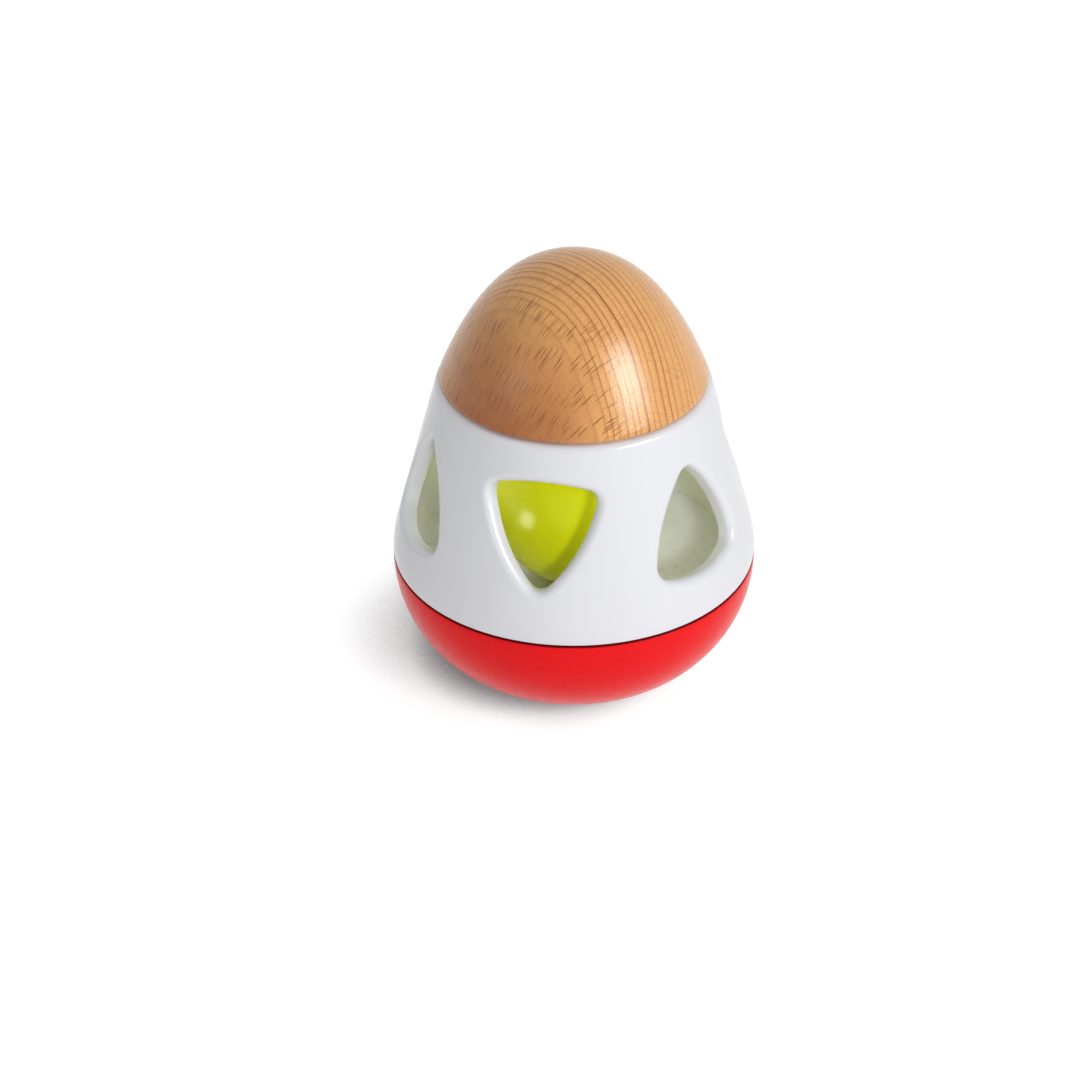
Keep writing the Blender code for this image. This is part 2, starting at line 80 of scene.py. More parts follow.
# Where the rings of faces round a window lie, from its edge at 0 to its panel's border at 1
OUTER_RINGS = (1.0, 0.75, 0.53, 0.35, 0.21, 0.1, 0.03)
INNER_RINGS = (0.05, 0.15, 0.3, 0.5, 0.75, 1.0)

# Stock sizes of the screws, and of the post and the seat that carry the weight
SCREW_HEAD = 0.003
SCREW_SHANK = 0.0015
COUNTERSINK = 0.0016
POST_RADIUS = 0.0038
POST_DROP = 0.0024
SEAT_RADIUS = 0.008

# Sizes of the patterns on plastic and metal: clouds of pigment, haze in the gloss, orange peel and tarnish
PIGMENT_CLOUD = 0.014
GLOSS_HAZE = 0.0022
ORANGE_PEEL = 0.0011
TARNISH_PATCH = 0.0035
# Where most of a noise texture's values lie
NOISE_LOW, NOISE_HIGH = 0.3, 0.7

# The photograph's frame: its side and the shift of its middle in pixels, and the camera's sensor in millimetres
FRAME_SIDE = 1080
FRAME_SHIFT = (-33.9, -65.0)
SENSOR_WIDTH = 36

# Lamps: their distance, the height that they aim at, and how many rays measure the floor's shadow
LAMP_DISTANCE = 1.2
LAMP_AIM = 0.04
SKY_SAMPLES = 8


def linear(code):
    """Linear colour from an sRGB hex code."""
    channels = [int(code[i : i + 2], 16) / 255 for i in (0, 2, 4)]
    curved = [c / 12.92 if c <= 0.04045 else ((c + 0.055) / 1.055) ** 2.4 for c in channels]
    return (*curved, 1.0)


def length(label, note, default):
    return bpy.props.FloatProperty(
        name=label, description=note, default=default, min=0, precision=5, subtype="DISTANCE", unit="LENGTH"
    )


def angle(label, note, degrees):
    return bpy.props.FloatProperty(
        name=label, description=note, default=math.radians(degrees), subtype="ANGLE", unit="ROTATION"
    )


def amount(label, note, default):
    return bpy.props.FloatProperty(name=label, description=note, default=default, min=0)


def colour(label, note, code):
    return bpy.props.FloatVectorProperty(
        name=label, description=note, default=linear(code), size=4, min=0, max=1, subtype="COLOR"
    )


class RattleSizes(bpy.types.PropertyGroup):
    """Sizes of the rattle's pieces"""

    egg_radius: length("Egg radius", "Largest radius of the egg", 0.0325)
    base_round: length("Base round", "Radius of the bowl's rounded side", 0.0232)
    foot_radius: length("Foot radius", "Radius of the flat that it stands on", 0.011)
    seam_height: length("Seam height", "Height of the joint between bowl and shell", 0.0238)
    shell_height: length("Shell height", "Height of the white shell above the seam", 0.0344)
    dome_height: length("Dome height", "Height of the wooden dome above the shell", 0.0227)
    cone_angle: angle("Cone angle", "Lean of the shell's wall", 15.0)
    clearance: length("Clearance", "Gap between pieces that fit together", 0.0003)
    dome_inset: length("Dome inset", "How far the dome stands inside the shell's edge", 0.00055)
    dome_edge: length("Dome edge", "Radius of the dome's rounded rim", 0.0007)
    dome_slope: angle("Dome slope", "Lean of the dome's side at its rim", 22.9)
    dome_crown: length("Dome crown", "How far the crown stays level", 0.0134)
    dome_flank: length("Dome flank", "How far the side stays straight", 0.0096)
    tenon_radius: length("Tenon radius", "Radius of the tenon under the dome", 0.014)
    tenon_depth: length("Tenon depth", "Depth of the tenon under the dome", 0.003)
    shell_wall: length("Shell wall", "Thickness of the shell's wall", 0.003)
    lip_round: length("Lip round", "Radius of the shell's top edge", 0.0012)
    deck: length("Deck", "Thickness of the shell's top", 0.0028)
    web: length("Web", "Thickness of the socket's floor", 0.0026)
    spigot_depth: length("Spigot depth", "How far the shell reaches into the bowl", 0.0032)
    seam_edge: length("Seam edge", "Radius of the two edges at the seam", 0.0002)
    seam_gap: length("Seam gap", "Width of the line between bowl and shell", 0.0004)
    window_rise: length("Window rise", "Height of the windows' middle above the seam", 0.0179)
    window_stagger: length("Window stagger", "How far windows stand above or below that by turns", 0.0024)
    window_tip: length("Window tip", "From a window's middle to its tips", 0.01235)
    window_side: length("Window side", "From a window's middle to its sides", 0.0092)
    window_corner: length("Window corner", "Radius of a window's corners", 0.004)
    window_flare: length("Window flare", "Radius of the rounded edge round a window", 0.0014)
    hole_edge: length("Hole edge", "Radius of a window's inner edge", 0.0004)
    base_wall: length("Base wall", "Thickness of the bowl's wall", 0.0034)
    rim_wall: length("Rim wall", "Thickness of the bowl's rim", 0.0015)
    bead: length("Bead", "How far the snap beads stand out", 0.0004)
    bead_height: length("Bead height", "Height of the snap beads", 0.001)
    bead_crest: length("Bead crest", "Height of the flat on a snap bead", 0.00035)
    pan_wall: length("Floor wall", "Thickness of the dished floor", 0.002)
    pan_rim: length("Floor rim", "Height of the dished floor's rim", 0.0026)
    pan_lip: length("Floor lip", "Width of the flat round the dish", 0.0012)
    pan_hairline: length("Floor hairline", "Gap between the dished floor's rim and the shell's edge", 0.000003)
    dish_depth: length("Dish depth", "Depth of the dish that centres the ball", 0.0029)
    ball_radius: length("Ball radius", "Radius of the loose ball", 0.0145)
    ball_wall: length("Ball wall", "Thickness of the ball's wall", 0.0017)
    ball_edge: length("Ball edge", "Radius of the two edges at the ball's parting line", 0.0002)
    tongue_depth: length("Tongue depth", "How far the ball's halves overlap", 0.0014)
    tongue_wall: length("Tongue wall", "Thickness of the tongue between the halves", 0.0007)

    def round_centre(self):
        return self.egg_radius - self.base_round

    def equator_height(self):
        return math.sqrt(self.base_round**2 - (self.foot_radius - self.round_centre()) ** 2)

    def shell_top(self):
        return self.seam_height + self.shell_height

    def spigot_bottom(self):
        return self.seam_height - self.spigot_depth

    def pan_top(self):
        return self.spigot_bottom() - self.clearance

    def dish_bottom(self):
        return self.pan_top() - self.dish_depth

    def ceiling(self):
        return self.shell_top() - self.tenon_depth - self.web

    def radius_at(self, height, inset=0.0):
        """Radius of the egg at a height: a cone above, a round bowl below, moved in by the inset."""
        bowl = self.base_round - inset
        tangent_height = self.equator_height() + bowl * math.sin(self.cone_angle)
        if height > tangent_height:
            tangent_radius = self.round_centre() + bowl * math.cos(self.cone_angle)
            return tangent_radius - math.tan(self.cone_angle) * (height - tangent_height)
        return self.round_centre() + math.sqrt(bowl**2 - (height - self.equator_height()) ** 2)

    def angle_at(self, height, inset=0.0):
        """Angle on the bowl's round at a height."""
        return math.asin((height - self.equator_height()) / (self.base_round - inset))


class RattleFinish(bpy.types.PropertyGroup):
    """Colours and grain of the rattle's materials"""

    beech: colour("Beech", "Pale wood of the dome, far from the pith", "FBBA70")
    beech_warm: colour("Warm beech", "Darker wood of the dome, near the pith", "B0622A")
    beech_late: colour("Late wood", "Darker lines of the growth rings", "A65C22")
    beech_ray: colour("Rays", "Short dark flecks in the wood", "864819")
    white: colour("White", "Plastic of the shell and the floor", "F1F2F7")
    red: colour("Red", "Plastic of the bowl", "FF1B21")
    lime: colour("Lime", "Plastic of the ball", "F5FA02")
    brass: colour("Brass", "Sheet and wire of the bell", "D8B45A")
    steel: colour("Steel", "Zinc-plated weight, screws and pellet", "B9BCC0")
    ring_width: length("Ring width", "Distance between growth rings", 0.00135)
    plain_ring: length("Plain ring", "Radius in the tree up to which the rings don't show", 0.0565)
    ray_length: length("Ray length", "Spacing of the flecks along the grain", 0.0042)
    ray_width: length("Ray width", "Spacing of the flecks across the grain", 0.00034)
    ray_depth: length("Ray depth", "Spacing of the flecks towards the middle of the tree", 0.0042)


class RattleStudio(bpy.types.PropertyGroup):
    """Camera and lamps"""

    distance: length("Camera distance", "From the camera to the rattle's axis", 0.480)
    azimuth: angle("Camera azimuth", "How far right of the front window the camera stands", 11.9)
    elevation: angle("Camera elevation", "How far the camera looks down", 32.2)
    aim_height: length("Aim height", "Height on the axis that the camera looks at", 0.038)
    lens: bpy.props.FloatProperty(name="Lens", description="Focal length", default=90.03, min=1, unit="CAMERA")
    key: amount("Key lamp", "Power of the lamp near the camera", 4.45)
    softbox: amount("Softbox", "Power of the softbox on the right", 4.7)
    sheen: amount("Softbox face", "Power of the softbox's face as gloss shows it", 10.4)
    fill: amount("Fill lamp", "Power of the lamp on the left", 0.35)
    back: amount("Back lamp", "Power of the lamp above and behind", 2.2)
    ambient: amount("Ambient", "Strength of the light from all round", 0.25)
    glow: amount("Chamber glow", "Power of the lamps that stand for light through the walls", 0.0034)
    glint: amount("Ball glint", "Power of the lamp that the ball mirrors", 0.0007)


def arc(radius, height, sweep, start, end):
    """Points on a circle in the profile plane, from one angle to another."""
    count = max(2, math.ceil(abs(end - start) / (2 * math.acos(1 - FACET_SAG / sweep))))
    angles = [start + (end - start) * i / count for i in range(count + 1)]
    return [(radius + sweep * math.cos(a), height + sweep * math.sin(a)) for a in angles]


def bezier(start, start_handle, end_handle, end, count):
    """Points on a cubic Bezier curve."""
    points = []
    for i in range(count + 1):
        t = i / count
        weights = ((1 - t) ** 3, 3 * t * (1 - t) ** 2, 3 * t**2 * (1 - t), t**3)
        corners = (start, start_handle, end_handle, end)
        points.append(tuple(sum(w * c[k] for w, c in zip(weights, corners)) for k in (0, 1)))
    return points


def snap_bead(sizes, radius, height, room=0.0):
    """A ring-shaped bead, from its top edge down. Room widens it into a groove."""
    half = sizes.bead_height / 2 + room
    crest = sizes.bead_crest / 2 + room
    tip = radius + sizes.bead
    return [(radius, height + half), (tip, height + crest), (tip, height - crest), (radius, height - half)]


def spun(shape, profile, steps):
    """Turns a profile of radius and height round the Z axis."""
    corners = [shape.verts.new((r, 0, z)) for r, z in profile]
    edges = [shape.edges.new(pair) for pair in zip(corners, corners[1:])]
    bmesh.ops.spin(
        shape, geom=corners + edges, cent=(0, 0, 0), axis=(0, 0, 1), angle=2 * math.pi, steps=steps, use_merge=True
    )


def closed(shape):
    """Joins doubled points and turns the faces outwards."""
    bmesh.ops.remove_doubles(shape, verts=shape.verts, dist=MERGE_DISTANCE)
    bmesh.ops.recalc_face_normals(shape, faces=shape.faces)
    return shape


def turned(profile, steps):
    """A closed solid turned from a profile."""
    shape = bmesh.new()
    spun(shape, profile, steps)
    return closed(shape)


def add_object(shape, name):
    """Makes an object at the origin from a bmesh."""
    mesh = bpy.data.meshes.new(name)
    shape.to_mesh(mesh)
    shape.free()
    made = bpy.data.objects.new(name, mesh)
    bpy.context.scene.collection.objects.link(made)
    return made


def carve(piece, cutters):
    """Cuts shapes out of a piece and keeps the result as its mesh."""
    for cutter in cutters:
        boolean = piece.modifiers.new(cutter.name, "BOOLEAN")
        boolean.operation = "DIFFERENCE"
        boolean.object = cutter
        boolean.solver = "MANIFOLD"
    graph = bpy.context.evaluated_depsgraph_get()
    carved = bpy.data.meshes.new_from_object(piece.evaluated_get(graph))
    piece.modifiers.clear()
    piece.data = carved
    for cutter in cutters:
        bpy.data.objects.remove(cutter)


def dress(piece, finish, body, node):
    """Gives a piece its finish and smooth shading, and lets it stand for a CAD node."""
    piece.data.materials.clear()
    piece.data.materials.append(finish)
    piece.data.shade_smooth()
    piece.data.set_sharp_from_angle(angle=SHARP_ANGLE)
    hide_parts(node)
    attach(piece, body)


def add_node(tree, kind, sockets=None, **settings):
    """Adds a node, with its settings, and its sockets' values or links."""
    node = tree.nodes.new(kind)
    for key, value in settings.items():
        setattr(node, key, value)
    for key, value in (sockets or {}).items():
        if isinstance(value, bpy.types.NodeSocket):
            tree.links.new(value, node.inputs[key])
        else:
            node.inputs[key].default_value = value
    return node


def new_material(name):
    """An empty node material, its tree and its shader."""
    made = bpy.data.materials.new(name)
    made.use_nodes = True
    return made, made.node_tree, made.node_tree.nodes["Principled BSDF"]


def darker(tint, share):
    return [channel * share for channel in tint[:3]] + [1.0]


def moulded_abs(name, tint, roughness, depth, specular, rim=None):
    """Injection-moulded ABS: a polished tool leaves an even gloss, a faint orange peel and slight clouds of pigment.

    Where a rim's height and width are given, a painted shade darkens its top towards the seam, standing in for the
    shadow in the seam's gap.
    """
    gloss_spread = 0.18
    # Share of the tint that is left where the painted seam shade is darkest
    seam_shade_share = 0.2
    made, tree, shader = new_material(name)
    place = add_node(tree, "ShaderNodeTexCoord").outputs["Object"]
    cloud = add_node(tree, "ShaderNodeTexNoise", {"Vector": place, "Scale": 1 / PIGMENT_CLOUD, "Detail": 3.0})
    haze = add_node(tree, "ShaderNodeTexNoise", {"Vector": place, "Scale": 1 / GLOSS_HAZE, "Detail": 4.0})
    peel = add_node(tree, "ShaderNodeTexNoise", {"Vector": place, "Scale": 1 / ORANGE_PEEL, "Detail": 1.0})
    pigment = add_node(
        tree,
        "ShaderNodeMix",
        {"Factor": cloud.outputs["Fac"], 6: darker(tint, depth), 7: tint},
        data_type="RGBA",
    ).outputs[2]
    gloss = add_node(
        tree,
        "ShaderNodeMapRange",
        {
            "Value": haze.outputs["Fac"],
            "From Min": NOISE_LOW,
            "From Max": NOISE_HIGH,
            "To Min": roughness * (1 - gloss_spread),
            "To Max": roughness * (1 + gloss_spread),
        },
    )
    bump = add_node(tree, "ShaderNodeBump", {"Height": peel.outputs["Fac"], "Strength": 0.05, "Distance": 0.00002})
    # Painted shade: the rim's top is darkened towards the seam, in place of the shadow in the gap between the parts
    if rim:
        top, width = rim
        height = add_node(tree, "ShaderNodeSeparateXYZ", {"Vector": place}).outputs["Z"]
        seam_shade = add_node(
            tree, "ShaderNodeMapRange", {"Value": height, "From Min": top - width, "From Max": top}
        ).outputs["Result"]
        pigment = add_node(
            tree, "ShaderNodeMix", {"Factor": seam_shade, 6: pigment, 7: darker(tint, seam_shade_share)}, data_type="RGBA"
        ).outputs[2]
    tree.links.new(pigment, shader.inputs["Base Color"])
    tree.links.new(gloss.outputs["Result"], shader.inputs["Roughness"])
    tree.links.new(bump.outputs["Normal"], shader.inputs["Normal"])
    shader.inputs["IOR"].default_value = 1.54
    shader.inputs["Specular IOR Level"].default_value = specular
    return made


def lacquered_beech(finish):
    """Turned beech under clear lacquer: growth rings round a pith outside the block, and dark rays across them."""
    made, tree, shader = new_material("lacquered beech")
    # Where the middle of the tree runs, and which way its fibres lean
    pith = Vector((-0.0334, -0.0611, 0.0632))
    fibre = Vector((0.118, -0.094, 0.989)).normalized()
    # Rings wander by up to 1.8 mm within 16 mm, and good and bad years differ in width
    drift_size, drift_reach = 0.016, 0.0018
    season_rate, season_reach = 0.37, 1.4
    # Weak and strong years differ in depth. Rings are full from the third on, and fade from the 11th to the 17th
    weak_year, strong_year = 0.4, 1.0
    full_ring, fading_ring, faint_ring = 3, 11, 17
    plain_share, faint_share = 0.1, 0.35
    # Share of its cell that a fleck fills, which cells have one, and where flecks thin out from the pith
    fleck_core, fleck_edge = 0.28, 0.42
    fleck_chance, fleck_sure = 0.3, 0.75
    fleck_near, fleck_far = 0.058, 0.069
    fleck_strong, fleck_weak = 0.9, 0.15
    # Fibres are too fine to show, so they are drawn as hair lines 0.35 mm wide
    hair_length, hair_width = 0.02, 0.00035
    # Warm and pale wood meet in patches of 22 mm, at these distances from the pith
    patch_size, patch_reach = 0.022, 0.016
    warm_end, pale_start = 0.052, 0.07
    # The lacquer sinks between the fibres
    lacquer_smooth, lacquer_sunk = 0.15, 0.27
    side = fibre.cross(-pith).normalized()
    turn = Matrix((side.cross(fibre), side, fibre)).transposed().to_euler()
    place = add_node(tree, "ShaderNodeTexCoord").outputs["Object"]
    log = add_node(
        tree, "ShaderNodeMapping", {"Vector": place, "Location": pith, "Rotation": turn}, vector_type="TEXTURE"
    ).outputs["Vector"]
    along = add_node(tree, "ShaderNodeSeparateXYZ", {"Vector": log})
    section = add_node(tree, "ShaderNodeVectorMath", {0: log, 1: (1, 1, 0)}, operation="MULTIPLY").outputs["Vector"]
    from_pith = add_node(tree, "ShaderNodeVectorMath", {0: section}, operation="LENGTH").outputs["Value"]
    swing = add_node(
        tree, "ShaderNodeMath", {0: along.outputs["Y"], 1: along.outputs["X"]}, operation="ARCTAN2"
    ).outputs["Value"]
    round_pith = add_node(tree, "ShaderNodeMath", {0: swing, 1: pith.length}, operation="MULTIPLY").outputs["Value"]
    drift = add_node(tree, "ShaderNodeTexNoise", {"Vector": log, "Scale": 1 / drift_size, "Detail": 2.0}).outputs["Fac"]
    drifted = add_node(
        tree, "ShaderNodeMath", {0: drift, 1: drift_reach, 2: from_pith}, operation="MULTIPLY_ADD"
    ).outputs["Value"]
    years = add_node(tree, "ShaderNodeMath", {0: drifted, 1: finish.ring_width}, operation="DIVIDE").outputs["Value"]
    season = add_node(
        tree, "ShaderNodeTexNoise", {"W": years, "Scale": season_rate, "Detail": 0.0}, noise_dimensions="1D"
    ).outputs["Fac"]
    uneven = add_node(
        tree, "ShaderNodeMath", {0: season, 1: season_reach, 2: years}, operation="MULTIPLY_ADD"
    ).outputs["Value"]
    ring = add_node(tree, "ShaderNodeMath", {0: uneven}, operation="FRACT").outputs["Value"]
    year = add_node(tree, "ShaderNodeMath", {0: uneven}, operation="FLOOR").outputs["Value"]
    strength = add_node(tree, "ShaderNodeTexWhiteNoise", {"W": year}, noise_dimensions="1D").outputs["Value"]
    late = add_node(tree, "ShaderNodeValToRGB", {"Fac": ring})
    stops = late.color_ramp.elements
    stops[0].position, stops[0].color = 0.45, (0, 0, 0, 1)
    stops[1].position, stops[1].color = 0.83, (1, 1, 1, 1)
    for position, level in ((0.7, 0.3), (0.94, 1.0), (1.0, 0.0)):
        stops.new(position).color = (level, level, level, 1)
    depth = add_node(
        tree, "ShaderNodeMapRange", {"Value": strength, "To Min": weak_year, "To Max": strong_year}
    ).outputs["Result"]
    inside = add_node(
        tree,
        "ShaderNodeMapRange",
        {
            "Value": from_pith,
            "From Min": finish.plain_ring,
            "From Max": finish.plain_ring + full_ring * finish.ring_width,
            "To Min": plain_share,
        },
    ).outputs["Result"]
    outside = add_node(
        tree,
        "ShaderNodeMapRange",
        {
            "Value": from_pith,
            "From Min": finish.plain_ring + fading_ring * finish.ring_width,
            "From Max": finish.plain_ring + faint_ring * finish.ring_width,
            "To Min": 1.0,
            "To Max": faint_share,
        },
    ).outputs["Result"]
    shown = add_node(tree, "ShaderNodeMath", {0: inside, 1: outside}, operation="MULTIPLY").outputs["Value"]
    bold = add_node(tree, "ShaderNodeMath", {0: shown, 1: depth}, operation="MULTIPLY").outputs["Value"]
    line = add_node(tree, "ShaderNodeMath", {0: late.outputs["Color"], 1: bold}, operation="MULTIPLY").outputs["Value"]
    stretch = add_node(
        tree,
        "ShaderNodeCombineXYZ",
        {"X": along.outputs["Z"], "Y": round_pith, "Z": from_pith},
    ).outputs["Vector"]
    cells = add_node(
        tree,
        "ShaderNodeVectorMath",
        {0: stretch, 1: (1 / finish.ray_length, 1 / finish.ray_width, 1 / finish.ray_depth)},
        operation="MULTIPLY",
    ).outputs["Vector"]
    rays = add_node(tree, "ShaderNodeTexVoronoi", {"Vector": cells, "Scale": 1.0})
    fleck = add_node(
        tree,
        "ShaderNodeMapRange",
        {
            "Value": rays.outputs["Distance"],
            "From Min": fleck_core,
            "From Max": fleck_edge,
            "To Min": 1.0,
            "To Max": 0.0,
        },
    ).outputs["Result"]
    chance = add_node(tree, "ShaderNodeSeparateColor", {"Color": rays.outputs["Color"]}).outputs["Red"]
    kept = add_node(
        tree, "ShaderNodeMapRange", {"Value": chance, "From Min": fleck_chance, "From Max": fleck_sure}
    ).outputs["Result"]
    fading = add_node(
        tree,
        "ShaderNodeMapRange",
        {
            "Value": from_pith,
            "From Min": fleck_near,
            "From Max": fleck_far,
            "To Min": fleck_strong,
            "To Max": fleck_weak,
        },
    ).outputs["Result"]
    faded = add_node(tree, "ShaderNodeMath", {0: kept, 1: fading}, operation="MULTIPLY").outputs["Value"]
    ray = add_node(tree, "ShaderNodeMath", {0: fleck, 1: faded}, operation="MULTIPLY").outputs["Value"]
    hair = add_node(
        tree,
        "ShaderNodeVectorMath",
        {0: stretch, 1: (1 / hair_length, 1 / hair_width, 1 / hair_width)},
        operation="MULTIPLY",
    ).outputs["Vector"]
    streak = add_node(tree, "ShaderNodeTexNoise", {"Vector": hair, "Scale": 1.0, "Detail": 3.0}).outputs["Fac"]
    patch = add_node(tree, "ShaderNodeTexNoise", {"Vector": log, "Scale": 1 / patch_size, "Detail": 2.0}).outputs["Fac"]
    patched = add_node(
        tree, "ShaderNodeMath", {0: patch, 1: patch_reach, 2: from_pith}, operation="MULTIPLY_ADD"
    ).outputs["Value"]
    tone = add_node(
        tree, "ShaderNodeMapRange", {"Value": patched, "From Min": pale_start, "From Max": warm_end}
    ).outputs["Result"]
    base = add_node(
        tree, "ShaderNodeMix", {"Factor": tone, 6: finish.beech, 7: finish.beech_warm}, data_type="RGBA"
    ).outputs[2]
    fine = add_node(
        tree, "ShaderNodeMapRange", {"Value": streak, "From Min": 0.35, "From Max": 0.75, "To Max": 0.34}
    ).outputs["Result"]
    streaked = add_node(
        tree, "ShaderNodeMix", {"Factor": fine, 6: base, 7: finish.beech_late}, data_type="RGBA"
    ).outputs[2]
    lined = add_node(
        tree, "ShaderNodeMix", {"Factor": line, 6: streaked, 7: finish.beech_late}, data_type="RGBA"
    ).outputs[2]
    flecked = add_node(
        tree, "ShaderNodeMix", {"Factor": ray, 6: lined, 7: finish.beech_ray}, data_type="RGBA"
    ).outputs[2]
    tree.links.new(flecked, shader.inputs["Base Color"])
    bump = add_node(
        tree, "ShaderNodeBump", {"Height": streak, "Strength": 0.8, "Distance": 0.00005}, invert=True
    ).outputs["Normal"]
    tree.links.new(bump, shader.inputs["Normal"])
    satin = add_node(
        tree,
        "ShaderNodeMapRange",
        {
            "Value": streak,
            "From Min": NOISE_LOW,
            "From Max": NOISE_HIGH,
            "To Min": lacquer_smooth,
            "To Max": lacquer_sunk,
        },
    ).outputs["Result"]
    tree.links.new(satin, shader.inputs["Roughness"])
    shader.inputs["IOR"].default_value = 1.5
    shader.inputs["Specular IOR Level"].default_value = 0.5
    return made


def plated_metal(name, tint, roughness):
    """Bright plated or stamped metal: patches of tarnish dull its colour and break its gloss."""
    tarnish_shade = 0.78
    gloss_spread = 0.3
    made, tree, shader = new_material(name)
    place = add_node(tree, "ShaderNodeTexCoord").outputs["Object"]
    tarnish = add_node(
        tree, "ShaderNodeTexNoise", {"Vector": place, "Scale": 1 / TARNISH_PATCH, "Detail": 4.0}
    ).outputs["Fac"]
    dull = darker(tint, tarnish_shade)
    shade = add_node(tree, "ShaderNodeMix", {"Factor": tarnish, 6: tint, 7: dull}, data_type="RGBA").outputs[2]
    gloss = add_node(
        tree,
        "ShaderNodeMapRange",
        {"Value": tarnish, "To Min": roughness * (1 - gloss_spread), "To Max": roughness * (1 + gloss_spread)},
    ).outputs["Result"]
    tree.links.new(shade, shader.inputs["Base Color"])
    tree.links.new(gloss, shader.inputs["Roughness"])
    shader.inputs["Metallic"].default_value = 1.0
    return made


def window_point(sizes, direction, inset):
    """Where a window's outline, tip up, lies in a direction from its middle, moved in by the inset."""
    reach = sizes.window_tip - sizes.window_corner
    flat = sizes.window_side - sizes.window_corner
    back = (reach**2 - flat**2) / (2 * flat - reach)
    third = 2 * math.pi / 3
    tip = math.pi / 2 + third * round((direction - math.pi / 2) / third)
    spread = math.atan2(back * math.sin(third / 2), reach + back * math.cos(third / 2))
    corner = sizes.window_corner
    corner_end = math.atan2(corner * math.sin(spread), reach + corner * math.cos(spread))
    centre = Vector((reach * math.cos(tip), reach * math.sin(tip)))
    radius = corner
    if abs(direction - tip) > corner_end:
        side = tip + math.copysign(third / 2, direction - tip)
        centre = Vector((-back * math.cos(side), -back * math.sin(side)))
        radius = sizes.window_side + back
    ahead = Vector((math.cos(direction), math.sin(direction)))
    along = centre.dot(ahead)
    hit = ahead * (along + math.sqrt(radius**2 - centre.length_squared + along**2))
    return centre + (hit - centre).normalized() * (radius - inset)


def window_sections(sizes):
    """Inset, depth and share of the way out to the panel's edge, from the panel's outside to its inside."""
    flare, edge, wall = sizes.window_flare, sizes.hole_edge, sizes.shell_wall
    quarter = [math.pi / 2 * i / FLARE_STEPS for i in range(FLARE_STEPS + 1)]
    sections = [(0.0, 0.0, share) for share in OUTER_RINGS]
    sections += [(flare * math.sin(a), flare * (1 - math.cos(a)), 0.0) for a in quarter]
    sections += [(flare - edge * (1 - math.cos(a)), wall - edge * (1 - math.sin(a)), 0.0) for a in quarter[::2]]
    sections += [(flare - edge, wall, share) for share in INNER_RINGS]
    return sections


def window_panel(shape, sizes, azimuth, upright, low, high):
    """A sixth of the shell's wall with its window: a grid laid in rings round the hole and wrapped round the egg."""
    half = math.pi / WINDOWS
    middle = sizes.seam_height + sizes.window_rise - upright * sizes.window_stagger
    across = [-half + 2 * half * i / SECTOR_STEPS for i in range(SECTOR_STEPS)]
    rise = [low + (high - low) * i / SIDE_STEPS for i in range(SIDE_STEPS)]
    border = [(a, low) for a in across] + [(half, h) for h in rise]
    border += [(-a, high) for a in across] + [(-half, low + high - h) for h in rise]
    reference = sizes.radius_at(middle)
    sections = window_sections(sizes)
    columns, rows = len(border), len(sections) - 1
    grid = bmesh.ops.create_grid(shape, x_segments=columns, y_segments=rows, size=1)["verts"]
    for point in grid:
        swing, height = border[round((point.co.x + 1) / 2 * columns) % columns]
        inset, depth, share = sections[round((point.co.y + 1) / 2 * rows)]
        direction = math.atan2(upright * (height - middle), upright * swing * reference)
        spot = window_point(sizes, direction, inset) * upright
        near_height = middle + spot.y
        near_swing = spot.x / sizes.radius_at(near_height)
        swing = azimuth + near_swing + (swing - near_swing) * share
        height = near_height + (height - near_height) * share
        radius = sizes.radius_at(height) - depth * math.cos(sizes.cone_angle)
        fall = depth * math.sin(sizes.cone_angle)
        point.co = (radius * math.sin(swing), -radius * math.cos(swing), height - fall)


def screw_cutters(sizes):
    """The countersunk holes for the dome's screws, as large as the screws and their clearance."""
    low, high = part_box("dome_screw_1")
    room = sizes.clearance
    head = SCREW_HEAD + room
    shank = SCREW_SHANK + room
    tip = high.z - low.z + room
    profile = [(0, tip), (shank, tip - 2 * shank), (shank, COUNTERSINK + room)]
    profile += [(head, room), (head, -head), (0, -head)]
    cutters = []
    for number in (1, 2, 3):
        low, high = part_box(f"dome_screw_{number}")
        shape = turned(profile, SCREW_STEPS)
        middle = (low + high) / 2
        bmesh.ops.translate(shape, vec=(middle.x, middle.y, sizes.ceiling()), verts=shape.verts)
        cutters.append(add_object(shape, f"screw_cutter_{number}"))
    return cutters


class RATTLE_OT_wood_dome(bpy.types.Operator):
    """Turn the beech dome with its tenon"""

    bl_idname = "rattle.wood_dome"
    bl_label = "Wood Dome"

    def execute(self, context):
        sizes = context.scene.rattle_sizes
        bottom = sizes.shell_top() + sizes.clearance
        top = bottom + sizes.dome_height
        edge_centre = sizes.radius_at(sizes.shell_top()) - sizes.dome_inset - sizes.dome_edge
        edge = arc(edge_centre, bottom + sizes.dome_edge, sizes.dome_edge, sizes.dome_slope, -math.pi / 2)
        rim_radius, rim_height = edge[0]
        flank = (
            rim_radius - sizes.dome_flank * math.sin(sizes.dome_slope),
            rim_height + sizes.dome_flank * math.cos(sizes.dome_slope),
        )
        sweep = bezier((0, top), (sizes.dome_crown, top), flank, edge[0], DOME_FACETS)
        tenon_bottom = bottom - sizes.tenon_depth
        tenon = [(sizes.tenon_radius, bottom), (sizes.tenon_radius, tenon_bottom), (0, tenon_bottom)]
        piece = add_object(turned(sweep + edge[1:] + tenon, EGG_STEPS), "turned_dome")
        carve(piece, screw_cutters(sizes))
        dress(piece, lacquered_beech(context.scene.rattle_finish), "egg", "wood_dome")
        return {"FINISHED"}


